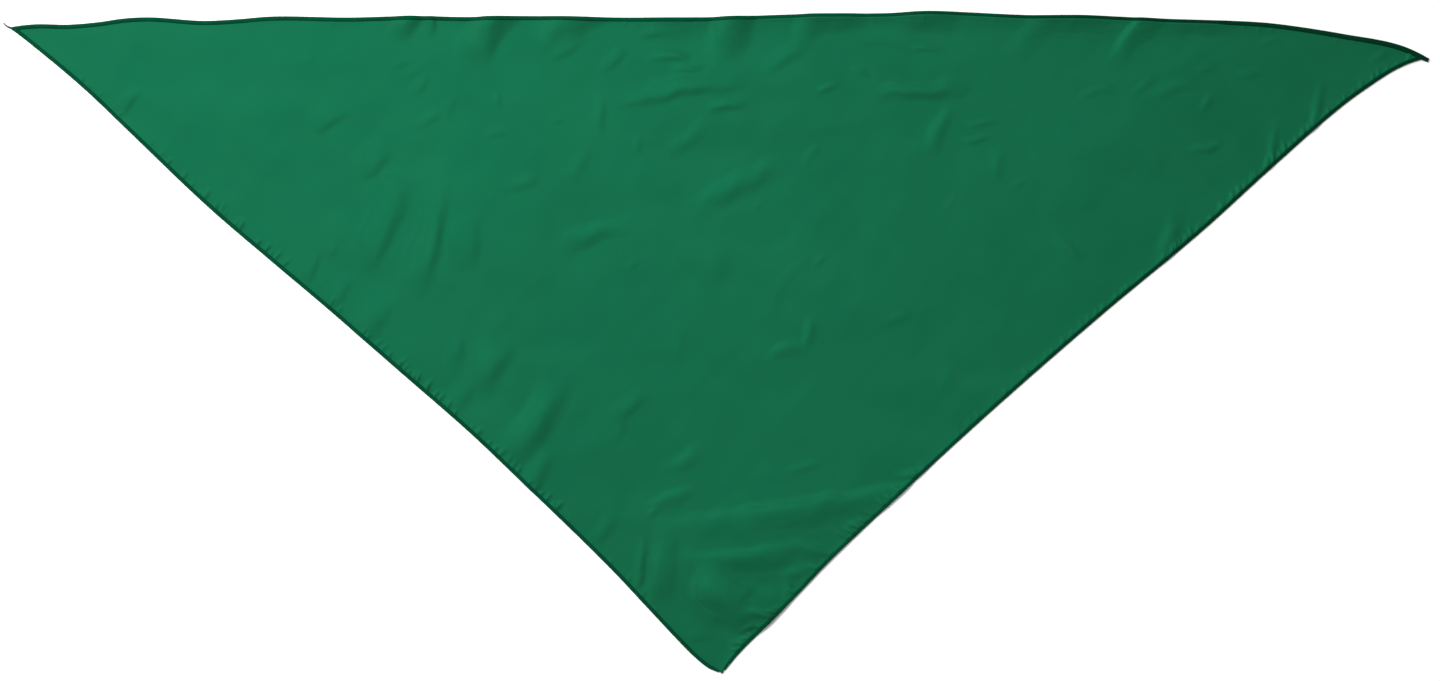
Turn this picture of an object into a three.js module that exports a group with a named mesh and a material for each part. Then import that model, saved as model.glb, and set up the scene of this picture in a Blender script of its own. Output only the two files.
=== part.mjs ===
import * as THREE from 'three';

// A three-cornered kerchief of light satin, laid out on a surface, in millimetres with +Z up.
// Its long edge is at the back (+Y) and its square corner at the front (-Y). The origin is on
// the surface, under the middle of the outline.

// The corners of the outline.
const LEFT_CORNER = new THREE.Vector2(-500, 222);
const RIGHT_CORNER = new THREE.Vector2(500, 199);
const FRONT_CORNER = new THREE.Vector2(3, -233);

// The cloth, and the rolled hem sewn round it.
const CLOTH_THICKNESS = 1.2;
const LONG_HEM_WIDTH = 3.3;
const SHORT_HEM_WIDTH = 2.9;
const HEM_HEIGHT = 1.8;
const HEM_SIDES = 8;
const HEM_TIP_LENGTH = 7;
const HEM_TIP_SCALE = 0.4;
const PIECE_GAP = 0.4;
const CLOTH_COLOUR = 0x166e4c;
const CLOTH_ROUGHNESS = 0.55;
const HEM_COLOUR = 0x043f29;
const HEM_ROUGHNESS = 0.75;

// How closely the faces follow the cloth.
const FIRST_SPLITS = 20;
const SPLIT_ROUNDS = 4;
const LIFT_TOLERANCE = 0.25;
const OUTLINE_TOLERANCE = 0.15;
const CHECKED_SHARES = [0.25, 0.5, 0.75];
const LONGEST_HEM_STEP = 40;
const SHORTEST_HEM_STEP = 5;
const CORNER_REACH = 60;
const CORNER_ROUNDS = 40;

// How far each edge stands out from the straight line between its corners: at is the distance
// along that line from the edge's first corner, and out the distance outwards.
const LONG_EDGE_WAVES = [
  { at: 0, out: 0 },
  { at: 20, out: 2.4 },
  { at: 42, out: 2.6 },
  { at: 62, out: 4.6 },
  { at: 82, out: 7.8 },
  { at: 100, out: 9 },
  { at: 138, out: 7.5 },
  { at: 160, out: 9 },
  { at: 185, out: 11.6 },
  { at: 240, out: 12.2 },
  { at: 285, out: 14.3 },
  { at: 325, out: 14.5 },
  { at: 360, out: 16 },
  { at: 440, out: 16.7 },
  { at: 490, out: 18 },
  { at: 560, out: 21.8 },
  { at: 620, out: 23.9 },
  { at: 650, out: 25.8 },
  { at: 720, out: 24.7 },
  { at: 760, out: 25.4 },
  { at: 820, out: 24.1 },
  { at: 880, out: 23.4 },
  { at: 900, out: 21.8 },
  { at: 940, out: 16.5 },
  { at: 980, out: 9.6 },
  { at: 1000, out: 1.5 },
];
const RIGHT_EDGE_WAVES = [
  { at: 0, out: -1.6 },
  { at: 13, out: -6.9 },
  { at: 26, out: -10.2 },
  { at: 40, out: -12.2 },
  { at: 66, out: -14.6 },
  { at: 132, out: -14.5 },
  { at: 200, out: -13 },
  { at: 290, out: -14.9 },
  { at: 395, out: -14.7 },
  { at: 500, out: -11.7 },
  { at: 553, out: -9.5 },
  { at: 580, out: -6.8 },
  { at: 606, out: -4.7 },
  { at: 646, out: -1.7 },
  { at: 659, out: 1.4 },
];
const LEFT_EDGE_WAVES = [
  { at: 0, out: 1.4 },
  { at: 10, out: 4.2 },
  { at: 23, out: 4.9 },
  { at: 38, out: 4.1 },
  { at: 68, out: 1.6 },
  { at: 108, out: -1.6 },
  { at: 203, out: -5 },
  { at: 243, out: -6 },
  { at: 313, out: -4.8 },
  { at: 378, out: -3.6 },
  { at: 433, out: -1.7 },
  { at: 488, out: -0.3 },
  { at: 568, out: -2.4 },
  { at: 610, out: -3.4 },
  { at: 664, out: -1.2 },
  { at: 678, out: 0 },
];

// The folds that lift the cloth off the surface. A fold's crest is centred on x and y, as long
// as length, turned anticlockwise from +X by turn degrees, and bowed to its upper side by bend.
// Its flanks reach out to upper and lower, and it stands rise high in the middle.
const SWELLS = [
  { x: -330, y: 160, length: 260, turn: 18, bend: 0, upper: 55, lower: 60, rise: 0.9 },
  { x: -165, y: 75, length: 250, turn: 62, bend: 0, upper: 70, lower: 70, rise: 1.8 },
  { x: 20, y: 178, length: 260, turn: 6, bend: 0, upper: 50, lower: 50, rise: 2.2 },
  { x: 290, y: 150, length: 260, turn: 30, bend: 0, upper: 50, lower: 55, rise: 1.8 },
  { x: 25, y: -140, length: 190, turn: 14, bend: 0, upper: 60, lower: 60, rise: 2.6 },
];
const FOLDS = [
  { x: -240, y: 84, length: 88, turn: 70, bend: -8, upper: 24, lower: 9, rise: 1.9 },
  { x: -205, y: 71, length: 100, turn: 76, bend: -4, upper: 20, lower: 9, rise: 2.2 },
  { x: -176, y: 70, length: 50, turn: 88, bend: 0, upper: 18, lower: 9, rise: 1.1 },
  { x: -158, y: -18, length: 54, turn: 62, bend: 0, upper: 22, lower: 10, rise: 2 },
  { x: -131, y: -54, length: 84, turn: 57, bend: -6, upper: 18, lower: 12, rise: 3 },
  { x: -244, y: 14, length: 44, turn: 60, bend: 0, upper: 18, lower: 11, rise: 1.2 },
  { x: -242, y: 125, length: 38, turn: 38, bend: 0, upper: 17, lower: 7, rise: 1.2 },
  { x: -272, y: 156, length: 38, turn: 28, bend: 0, upper: 16, lower: 5, rise: 1 },
  { x: -27, y: 174, length: 112, turn: 10, bend: 3, upper: 13, lower: 6, rise: 1.9 },
  { x: 14, y: 111, length: 84, turn: 28, bend: 0, upper: 10, lower: 11, rise: 1.6 },
  { x: -87, y: 76, length: 56, turn: 15, bend: 0, upper: 9, lower: 8, rise: 1.5 },
  { x: 48, y: 201, length: 44, turn: 30, bend: 0, upper: 10, lower: 6, rise: 1.1 },
  { x: 126, y: 211, length: 64, turn: -9, bend: 2, upper: 8, lower: 7, rise: 1 },
  { x: 143, y: 177, length: 84, turn: 3, bend: 0, upper: 8, lower: 7, rise: 2.6 },
  { x: 158, y: 148, length: 46, turn: 66, bend: 5, upper: 6, lower: 8, rise: 1.2 },
  { x: 75, y: -111, length: 300, turn: 9, bend: -2.5, upper: 8, lower: 16, rise: 2.1 },
  { x: 18, y: -147, length: 115, turn: 7, bend: -4, upper: 8, lower: 13, rise: 2.1 },
  { x: -24, y: -82, length: 38, turn: 35, bend: 0, upper: 6, lower: 9, rise: 1 },
  { x: -33, y: -109, length: 42, turn: 19, bend: 0, upper: 5, lower: 8, rise: 1.1 },
  { x: -42, y: -160, length: 66, turn: 86, bend: 0, upper: 6, lower: 14, rise: 2.2 },
  { x: -4, y: -172, length: 36, turn: 70, bend: 0, upper: 16, lower: 30, rise: 4.2 },
  { x: 17, y: -187, length: 88, turn: -4, bend: 0, upper: 20, lower: 20, rise: 4.2 },
];
// The folds that start at the edge, with the hem lifted on their crests.
const EDGE_FOLDS = [
  { x: -407, y: 228, length: 60, turn: 80, bend: 0, upper: 22, lower: 22, rise: 1 },
  { x: -217, y: 228, length: 40, turn: 60, bend: 0, upper: 12, lower: 8, rise: 2.9 },
  { x: -202, y: 228, length: 32, turn: 82, bend: 0, upper: 6, lower: 5, rise: 1.6 },
  { x: -158, y: 229, length: 80, turn: 54, bend: 0, upper: 14, lower: 17, rise: 5.2 },
  { x: -102, y: 229, length: 76, turn: 32, bend: 0, upper: 14, lower: 16, rise: 3.2 },
  { x: -34, y: 230, length: 64, turn: -3, bend: 0, upper: 8, lower: 20, rise: 2.4 },
  { x: 9, y: 228, length: 72, turn: 72, bend: 0, upper: 15, lower: 19, rise: 4.8 },
  { x: 66, y: 229, length: 50, turn: 62, bend: 0, upper: 12, lower: 14, rise: 2.4 },
  { x: 84, y: 231, length: 50, turn: 0, bend: 0, upper: 8, lower: 14, rise: 3.2 },
  { x: 145, y: 231, length: 54, turn: 0, bend: 0, upper: 8, lower: 15, rise: 3.6 },
  { x: 229, y: 228, length: 90, turn: 50, bend: 0, upper: 10, lower: 13, rise: 1.2 },
  { x: 252, y: 231, length: 60, turn: 0, bend: 0, upper: 8, lower: 15, rise: 3 },
  { x: 297, y: 224, length: 84, turn: 50, bend: 0, upper: 6, lower: 13, rise: 2.6 },
  { x: 332, y: 224, length: 74, turn: -3, bend: 0, upper: 8, lower: 10, rise: 1.6 },
  { x: 421, y: 163, length: 50, turn: 78, bend: 0, upper: 4, lower: 5, rise: 1.2 },
  { x: 390, y: 137, length: 40, turn: 80, bend: 0, upper: 4, lower: 4, rise: 1 },
  { x: 317, y: 73, length: 46, turn: 70, bend: 0, upper: 9, lower: 10, rise: 1.4 },
  { x: 137, y: -92, length: 36, turn: 14, bend: 0, upper: 5, lower: 6, rise: 1 },
  { x: -126, y: -92, length: 44, turn: 65, bend: 0, upper: 12, lower: 8, rise: 1.6 },
];
const LIFTS = [...SWELLS, ...FOLDS, ...EDGE_FOLDS];

// How high the long hem stands off the surface by itself, at distances along its edge. The cloth
// falls away from it over the fall.
const LONG_EDGE_LIFTS = [
  { at: 430, lift: 0 },
  { at: 520, lift: 1.4 },
  { at: 700, lift: 2 },
  { at: 880, lift: 2 },
  { at: 960, lift: 1.4 },
  { at: 1000, lift: 0.4 },
];
const LONG_EDGE_FALL = 20;

// 1 in the middle, falling smoothly to 0 at -1 and 1.
function fade(offset) {
  return Math.abs(offset) < 1 ? (1 - offset ** 2) ** 2 : 0;
}

function foldHeight(fold, x, y) {
  const turn = THREE.MathUtils.degToRad(fold.turn);
  const east = x - fold.x;
  const north = y - fold.y;
  const along = (east * Math.cos(turn) + north * Math.sin(turn)) / (fold.length / 2);
  const crest = fold.bend * (1 - along ** 2);
  const across = north * Math.cos(turn) - east * Math.sin(turn) - crest;
  const flank = across > 0 ? fold.upper : fold.lower;
  return fold.rise * fade(along) * fade(across / flank);
}

// What the long hem's own lift adds to the cloth's height.
function longEdgeLift(x, y) {
  const place = new THREE.Vector2(x, y);
  const share = THREE.MathUtils.clamp(1 - depthIn(longEdge, place) / LONG_EDGE_FALL, 0, 1);
  const at = place.sub(longEdge.start).dot(longEdge.along);
  return longEdgeLifts.evaluate(at)[0] * share ** 2;
}

// Height of the cloth's underside over the surface.
function liftAt(x, y) {
  return LIFTS.reduce((lift, fold) => lift + foldHeight(fold, x, y), longEdgeLift(x, y));
}

// An edge runs clockwise, seen from above, from its start corner to its end corner.
function makeEdge(start, end, waves, hemWidth) {
  const along = end.clone().sub(start).normalize();
  const outward = new THREE.Vector2(-along.y, along.x);
  const places = waves.map((wave) => wave.at);
  const offsets = waves.map((wave) => wave.out);
  const outline = new THREE.CubicInterpolant(places, offsets, 1);
  return {
    start,
    along,
    outward,
    outline,
    length: start.distanceTo(end),
    hemMiddle: hemWidth / 2,
    panelInset: hemWidth + PIECE_GAP,
  };
}

function outlineOffset(edge, at) {
  return edge.outline.evaluate(THREE.MathUtils.clamp(at, 0, edge.length))[0];
}

// A point at a distance along the edge, inset from the outline.
function pointOn(edge, at, inset) {
  return edge.start.clone()
    .addScaledVector(edge.along, at)
    .addScaledVector(edge.outward, outlineOffset(edge, at) - inset);
}

// The way that an edge's outline runs at a place.
function directionAt(edge, at) {
  return pointOn(edge, at + 1, 0).sub(pointOn(edge, at - 1, 0)).normalize();
}

// How far a point lies inside the edge's outline.
function depthIn(edge, point) {
  const offset = point.clone().sub(edge.start);
  return outlineOffset(edge, offset.dot(edge.along)) - offset.dot(edge.outward);
}

// The distance along an edge where its inset line reaches the line of the panel's side at the
// other edge, found near the edge's end corner if towards is 1, or its start corner if -1.
function crossing(edge, inset, other, towards) {
  let outside = towards > 0 ? edge.length : 0;
  let inside = outside - towards * CORNER_REACH;
  for (let round = 0; round < CORNER_ROUNDS; round += 1) {
    const middle = (outside + inside) / 2;
    if (depthIn(other, pointOn(edge, middle, inset)) > other.panelInset) {
      inside = middle;
    } else {
      outside = middle;
    }
  }
  return inside;
}

const longEdge = makeEdge(LEFT_CORNER, RIGHT_CORNER, LONG_EDGE_WAVES, LONG_HEM_WIDTH);
const rightEdge = makeEdge(RIGHT_CORNER, FRONT_CORNER, RIGHT_EDGE_WAVES, SHORT_HEM_WIDTH);
const leftEdge = makeEdge(FRONT_CORNER, LEFT_CORNER, LEFT_EDGE_WAVES, SHORT_HEM_WIDTH);
const EDGES = [longEdge, rightEdge, leftEdge];
const longEdgeLifts = new THREE.LinearInterpolant(
  LONG_EDGE_LIFTS.map((row) => row.at),
  LONG_EDGE_LIFTS.map((row) => row.lift),
  1,
);

// The panel's three sides, each a stretch of an edge's inset line between two panel corners.
// A panel corner carries the same number as the side that starts there.
const SIDES = EDGES.map((edge, index) => {
  const before = EDGES.at(index - 1);
  const after = EDGES[(index + 1) % EDGES.length];
  return {
    edge,
    from: crossing(edge, edge.panelInset, before, -1),
    to: crossing(edge, edge.panelInset, after, 1),
  };
});
const PANEL_CORNERS = SIDES.map((side) => pointOn(side.edge, side.from, side.edge.panelInset));

// How far a side bows away from the straight line between its two panel corners.
function sideBow(index, share) {
  const side = SIDES[index];
  const next = PANEL_CORNERS[(index + 1) % PANEL_CORNERS.length];
  const straight = PANEL_CORNERS[index].clone().lerp(next, share);
  const at = THREE.MathUtils.lerp(side.from, side.to, share);
  return pointOn(side.edge, at, side.edge.panelInset).sub(straight);
}

// A place on the cloth from its three corner weights, which add up to 1. Each side's bow fades
// evenly towards the corner across from it.
function placeOnCloth(weights) {
  const plan = new THREE.Vector2();
  for (let index = 0; index < EDGES.length; index += 1) {
    const next = (index + 1) % EDGES.length;
    const near = weights[index] + weights[next];
    plan.addScaledVector(PANEL_CORNERS[index], weights[index]);
    if (near > 0 && weights[index] > 0 && weights[next] > 0) {
      plan.addScaledVector(sideBow(index, weights[next] / near), near);
    }
  }
  return new THREE.Vector3(plan.x, plan.y, liftAt(plan.x, plan.y));
}

function blend(first, second, share) {
  return first.map((value, index) => THREE.MathUtils.lerp(value, second[index], share));
}

// The cloth's face: a net of triangles over the panel, split again wherever it bends.
class ClothFace {
  constructor() {
    this.weights = [];
    this.places = [];
    this.triangles = [];
    this.layFirstNet();
    for (let round = 0; round < SPLIT_ROUNDS; round += 1) {
      this.splitWhereBent();
    }
  }

  addVertex(weights) {
    this.weights.push(weights);
    this.places.push(placeOnCloth(weights));
    return this.places.length - 1;
  }

  layFirstNet() {
    const rows = [];
    for (let row = 0; row <= FIRST_SPLITS; row += 1) {
      rows.push([]);
      for (let column = 0; column <= row; column += 1) {
        const counts = [FIRST_SPLITS - row, column, row - column];
        rows[row].push(this.addVertex(counts.map((count) => count / FIRST_SPLITS)));
      }
    }
    for (let row = 0; row < FIRST_SPLITS; row += 1) {
      for (let column = 0; column <= row; column += 1) {
        this.triangles.push([rows[row][column], rows[row + 1][column], rows[row + 1][column + 1]]);
        if (column < row) {
          this.triangles.push([rows[row][column], rows[row + 1][column + 1], rows[row][column + 1]]);
        }
      }
    }
  }

  // Whether a straight side between two vertices leaves the cloth or its outline too far.
  isBent(first, second) {
    const start = this.places[first];
    const end = this.places[second];
    const onRim = EDGES.some((_, index) => (
      this.weights[first][index] === 0 && this.weights[second][index] === 0
    ));
    return CHECKED_SHARES.some((share) => {
      const cloth = placeOnCloth(blend(this.weights[first], this.weights[second], share));
      const chord = start.clone().lerp(end, share);
      const aside = Math.hypot(cloth.x - chord.x, cloth.y - chord.y);
      const lifted = Math.abs(liftAt(chord.x, chord.y) - chord.z);
      return lifted > LIFT_TOLERANCE || (onRim && aside > OUTLINE_TOLERANCE);
    });
  }

  splitWhereBent() {
    const middles = new Map();
    const middleOf = (first, second) => {
      const key = `${Math.min(first, second)},${Math.max(first, second)}`;
      if (!middles.has(key)) {
        const halfway = blend(this.weights[first], this.weights[second], 0.5);
        middles.set(key, this.isBent(first, second) ? this.addVertex(halfway) : null);
      }
      return middles.get(key);
    };
    this.triangles = this.triangles.flatMap(([a, b, c]) => (
      splitTriangle([a, b, c], [middleOf(a, b), middleOf(b, c), middleOf(c, a)])
    ));
  }
}

// The pieces of a triangle whose sides have the given middles, null where a side stays whole.
function splitTriangle([a, b, c], [ab, bc, ca]) {
  const split = [ab, bc, ca].filter((middle) => middle !== null).length;
  if (split === 0) {
    return [[a, b, c]];
  }
  if (split === 3) {
    return [[a, ab, ca], [ab, b, bc], [ca, bc, c], [ab, bc, ca]];
  }
  if (ab === null || ca !== null) {
    return splitTriangle([b, c, a], [bc, ca, ab]);
  }
  return bc === null ? [[a, ab, c], [ab, b, c]] : [[ab, b, bc], [a, ab, bc], [a, bc, c]];
}

function solidFrom(positions, triangles) {
  const geometry = new THREE.BufferGeometry();
  geometry.setAttribute('position', new THREE.Float32BufferAttribute(positions, 3));
  geometry.setIndex(triangles.flat());
  geometry.computeVertexNormals();
  return geometry;
}

// The panel: the cloth's face, a second one above it, and a rim that joins the two.
function panelGeometry() {
  const face = new ClothFace();
  const count = face.places.length;
  const underside = face.places.flatMap((place) => [place.x, place.y, place.z]);
  const topside = face.places.flatMap((place) => [place.x, place.y, place.z + CLOTH_THICKNESS]);
  const turned = face.triangles.map(([a, b, c]) => [a, c, b]);
  const raised = face.triangles.map((corners) => corners.map((corner) => corner + count));
  const sides = face.triangles.flatMap(([a, b, c]) => [[a, b], [b, c], [c, a]]);
  const known = new Set(sides.map(([first, second]) => `${first},${second}`));
  const rim = sides.filter(([first, second]) => !known.has(`${second},${first}`));
  const walls = rim.flatMap(([first, second]) => [
    [first, second, second + count],
    [first, second + count, first + count],
  ]);
  return solidFrom([...underside, ...topside], [...turned, ...raised, ...walls]);
}

function hemCentre(edge, at) {
  const plan = pointOn(edge, at, edge.hemMiddle);
  return new THREE.Vector3(plan.x, plan.y, liftAt(plan.x, plan.y) + HEM_HEIGHT / 2);
}

// Places along a hem, close together where it bends.
function hemStations(edge, from, to) {
  const middle = (from + to) / 2;
  const straight = hemCentre(edge, from).lerp(hemCentre(edge, to), 0.5);
  const strays = straight.distanceTo(hemCentre(edge, middle)) > OUTLINE_TOLERANCE;
  const step = to - from;
  if (step > LONGEST_HEM_STEP || (strays && step > SHORTEST_HEM_STEP)) {
    return [...hemStations(edge, from, middle), ...hemStations(edge, middle, to)];
  }
  return [from];
}

// How far a hem's section slides along the hem for each millimetre across it, so that its end
// lies along the edge that it butts against. A free end is square.
function mitre(edge, at, neighbour) {
  if (!neighbour) {
    return 0;
  }
  const ahead = directionAt(edge, at);
  const across = new THREE.Vector2(-ahead.y, ahead.x);
  const place = pointOn(edge, at, edge.hemMiddle).sub(neighbour.start).dot(neighbour.along);
  const alongside = directionAt(neighbour, place);
  return -across.cross(alongside) / ahead.cross(alongside);
}

// A hem's size as a share of its full section: a free end narrows to a tip.
function hemScale(distance, neighbour) {
  return neighbour ? 1 : Math.min(1, THREE.MathUtils.lerp(HEM_TIP_SCALE, 1, distance / HEM_TIP_LENGTH));
}

// A rolled hem along an edge. Each end is an object with its place along the edge, and the edge
// that it butts against, if any.
function hemGeometry(edge, startEnd, finishEnd) {
  const inner = hemStations(edge, startEnd.at + HEM_TIP_LENGTH, finishEnd.at - HEM_TIP_LENGTH);
  const stations = [
    { at: startEnd.at, slide: mitre(edge, startEnd.at, startEnd.neighbour) },
    ...inner.map((at) => ({ at, slide: 0 })),
    { at: finishEnd.at - HEM_TIP_LENGTH, slide: 0 },
    { at: finishEnd.at, slide: mitre(edge, finishEnd.at, finishEnd.neighbour) },
  ];
  const positions = [];
  for (const { at, slide } of stations) {
    const scale = Math.min(
      hemScale(at - startEnd.at, startEnd.neighbour),
      hemScale(finishEnd.at - at, finishEnd.neighbour),
    );
    const centre = hemCentre(edge, at);
    const ahead = hemCentre(edge, at + 1).sub(hemCentre(edge, at - 1)).normalize();
    const across = new THREE.Vector3(-ahead.y, ahead.x, 0).normalize();
    const above = new THREE.Vector3().crossVectors(ahead, across);
    for (let side = 0; side < HEM_SIDES; side += 1) {
      const angle = ((side + 0.5) / HEM_SIDES) * 2 * Math.PI;
      const sideways = (Math.cos(angle) / Math.cos(Math.PI / HEM_SIDES)) * edge.hemMiddle * scale;
      const upwards = (Math.sin(angle) / Math.cos(Math.PI / HEM_SIDES)) * (HEM_HEIGHT / 2) * scale;
      const point = centre.clone()
        .addScaledVector(across, sideways)
        .addScaledVector(above, upwards)
        .addScaledVector(ahead, sideways * slide);
      positions.push(point.x, point.y, point.z);
    }
  }
  return solidFrom(positions, tubeTriangles(stations.length));
}

// The walls and the two end caps of a tube of rings.
function tubeTriangles(rings) {
  const triangles = [];
  for (let ring = 0; ring < rings - 1; ring += 1) {
    for (let side = 0; side < HEM_SIDES; side += 1) {
      const near = ring * HEM_SIDES + side;
      const beside = ring * HEM_SIDES + ((side + 1) % HEM_SIDES);
      triangles.push([near, beside, beside + HEM_SIDES], [near, beside + HEM_SIDES, near + HEM_SIDES]);
    }
  }
  const last = (rings - 1) * HEM_SIDES;
  for (let side = 1; side < HEM_SIDES - 1; side += 1) {
    triangles.push([0, side + 1, side], [last, last + side, last + side + 1]);
  }
  return triangles;
}

const clothMaterial = new THREE.MeshStandardMaterial({ color: CLOTH_COLOUR, roughness: CLOTH_ROUGHNESS });
const hemMaterial = new THREE.MeshStandardMaterial({ color: HEM_COLOUR, roughness: HEM_ROUGHNESS });

function namedMesh(name, geometry, material) {
  const mesh = new THREE.Mesh(geometry, material);
  mesh.name = name;
  return mesh;
}

// The long hem runs out past both its corners in narrow tips. The right hem butts against it and
// runs out at the front corner, and the left hem butts against both.
const longHem = hemGeometry(
  longEdge,
  { at: 0, neighbour: null },
  { at: longEdge.length, neighbour: null },
);
const rightHem = hemGeometry(
  rightEdge,
  { at: crossing(rightEdge, rightEdge.hemMiddle, longEdge, -1), neighbour: longEdge },
  { at: rightEdge.length - rightEdge.hemMiddle, neighbour: null },
);
const leftHem = hemGeometry(
  leftEdge,
  { at: crossing(leftEdge, leftEdge.hemMiddle, rightEdge, -1), neighbour: rightEdge },
  { at: crossing(leftEdge, leftEdge.hemMiddle, longEdge, 1), neighbour: longEdge },
);

const kerchief = new THREE.Group();
kerchief.add(
  namedMesh('cloth_panel', panelGeometry(), clothMaterial),
  namedMesh('long_hem', longHem, hemMaterial),
  namedMesh('right_hem', rightHem, hemMaterial),
  namedMesh('left_hem', leftHem, hemMaterial),
);

export default kerchief;
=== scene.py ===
"""A three-cornered kerchief of plain green satin, laid out flat and seen from straight above."""

import math

import bpy
import numpy as np
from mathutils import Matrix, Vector
from mathutils.geometry import delaunay_2d_cdt


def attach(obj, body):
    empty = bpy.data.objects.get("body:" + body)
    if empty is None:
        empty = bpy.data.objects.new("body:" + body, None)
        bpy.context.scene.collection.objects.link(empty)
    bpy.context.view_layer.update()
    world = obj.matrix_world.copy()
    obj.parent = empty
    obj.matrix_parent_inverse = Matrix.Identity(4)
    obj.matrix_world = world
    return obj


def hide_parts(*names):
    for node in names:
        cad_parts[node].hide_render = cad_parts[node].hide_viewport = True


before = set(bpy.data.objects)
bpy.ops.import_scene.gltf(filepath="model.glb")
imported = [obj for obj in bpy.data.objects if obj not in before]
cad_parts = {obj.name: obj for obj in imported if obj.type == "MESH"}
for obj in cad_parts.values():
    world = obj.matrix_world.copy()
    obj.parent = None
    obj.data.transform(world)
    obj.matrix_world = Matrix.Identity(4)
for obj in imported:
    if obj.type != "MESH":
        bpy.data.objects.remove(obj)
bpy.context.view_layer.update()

# Sizes and places are in millimetres, and become metres where a mesh, lamp or camera is made.
MM = 0.001

# The outline's corners, the hems' height and the cloth's thickness.
LEFT_CORNER = (-500, 222)
RIGHT_CORNER = (500, 199)
FRONT_CORNER = (3, -233)
HEM_HEIGHT = 1.8
CLOTH_THICKNESS = 0.3

# Each hem's width, first along most of its edge and then at the edge's end, and the length over
# which it changes from one to the other.
LONG_HEM_WIDTHS = (3.3, 4.2)
SHORT_HEM_WIDTHS = (2.9, 2.9)
HEM_WIDENING = 140

# How far each edge stands out from the line between its corners: at is the distance along that
# line from the edge's first corner, and out the distance outwards. Columns: at, out.
LONG_EDGE_WAVES = [
    (0, 0), (20, 2.4), (42, 2.6), (62, 4.6), (82, 7.8), (100, 9), (138, 7.5), (160, 9),
    (185, 11.6), (240, 12.2), (285, 14.3), (325, 14.5), (360, 16), (440, 16.7), (490, 18),
    (560, 21.8), (620, 23.9), (650, 25.8), (720, 24.7), (760, 25.4), (820, 24.1), (880, 23.4),
    (900, 21.8), (940, 16.5), (980, 9.6), (1000, 1.5),
]
RIGHT_EDGE_WAVES = [
    (0, -1.6), (13, -6.9), (26, -10.2), (40, -12.2), (66, -14.6), (132, -14.5), (200, -13),
    (290, -14.9), (395, -14.7), (500, -11.7), (553, -9.5), (580, -6.8), (606, -4.7),
    (646, -1.7), (659, 1.4),
]
LEFT_EDGE_WAVES = [
    (0, 1.4), (10, 4.2), (23, 4.9), (38, 4.1), (68, 1.6), (108, -1.6), (203, -5), (243, -6),
    (313, -4.8), (378, -3.6), (433, -1.7), (488, -0.3), (568, -2.4), (610, -3.4), (664, -1.2),
    (678, 0),
]

# The folds that lift the cloth off the floor. A fold's crest is centred on x and y, as long as
# length, turned anticlockwise from +X by turn degrees, and bowed to its upper side by bend. Its
# flanks reach out to upper and lower, and it stands rise high in the middle.
# Columns: x, y, length, turn, bend, upper, lower, rise.
SWELLS = [
    (-330, 160, 260, 18, 0, 55, 60, 0.9),
    (-165, 75, 250, 62, 0, 70, 70, 1.8),
    (20, 178, 260, 6, 0, 50, 50, 2.2),
    (290, 150, 260, 30, 0, 50, 55, 1.8),
    (25, -140, 190, 14, 0, 60, 60, 2.6),
]
FOLDS = [
    (-240, 84, 88, 70, -8, 24, 9, 1.9),
    (-205, 71, 100, 76, -4, 20, 9, 2.2),
    (-176, 70, 50, 88, 0, 18, 9, 1.1),
    (-158, -18, 54, 62, 0, 22, 10, 2),
    (-131, -54, 84, 57, -6, 18, 12, 3),
    (-244, 14, 44, 60, 0, 18, 11, 1.2),
    (-242, 125, 38, 38, 0, 17, 7, 1.2),
    (-272, 156, 38, 28, 0, 16, 5, 1),
    (-27, 174, 112, 10, 3, 13, 6, 1.9),
    (14, 111, 84, 28, 0, 10, 11, 1.6),
    (-87, 76, 56, 15, 0, 9, 8, 1.5),
    (48, 201, 44, 30, 0, 10, 6, 1.1),
    (126, 211, 64, -9, 2, 8, 7, 1),
    (143, 177, 84, 3, 0, 8, 7, 2.6),
    (158, 148, 46, 66, 5, 6, 8, 1.2),
    (75, -111, 300, 9, -2.5, 8, 16, 2.1),
    (18, -147, 115, 7, -4, 8, 13, 2.1),
    (-24, -82, 38, 35, 0, 6, 9, 1),
    (-33, -109, 42, 19, 0, 5, 8, 1.1),
    (-42, -160, 66, 86, 0, 6, 14, 2.2),
    (-4, -172, 36, 70, 0, 16, 30, 4.2),
    (17, -187, 88, -4, 0, 20, 20, 4.2),
]
EDGE_FOLDS = [
    (-407, 228, 60, 80, 0, 22, 22, 1),
    (-217, 228, 40, 60, 0, 12, 8, 2.9),
    (-202, 228, 32, 82, 0, 6, 5, 1.6),
    (-158, 229, 80, 54, 0, 14, 17, 5.2),
    (-102, 229, 76, 32, 0, 14, 16, 3.2),
    (-34, 230, 64, -3, 0, 8, 20, 2.4),
    (9, 228, 72, 72, 0, 15, 19, 4.8),
    (66, 229, 50, 62, 0, 12, 14, 2.4),
    (84, 231, 50, 0, 0, 8, 14, 3.2),
    (145, 231, 54, 0, 0, 8, 15, 3.6),
    (229, 228, 90, 50, 0, 10, 13, 1.2),
    (252, 231, 60, 0, 0, 8, 15, 3),
    (297, 224, 84, 50, 0, 6, 13, 2.6),
    (332, 224, 74, -3, 0, 8, 10, 1.6),
    (421, 163, 50, 78, 0, 4, 5, 1.2),
    (390, 137, 40, 80, 0, 4, 4, 1),
    (317, 73, 46, 70, 0, 9, 10, 1.4),
    (137, -92, 36, 14, 0, 5, 6, 1),
    (-126, -92, 44, 65, 0, 12, 8, 1.6),
]

# How high the long hem stands off the floor by itself, at distances along the edge. The cloth
# falls away from it over the fall. Columns: at, lift.
LONG_EDGE_LIFTS = [(430, 0), (520, 1.4), (700, 2), (880, 2), (960, 1.4), (1000, 0.4)]
LONG_EDGE_FALL = 20

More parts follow.
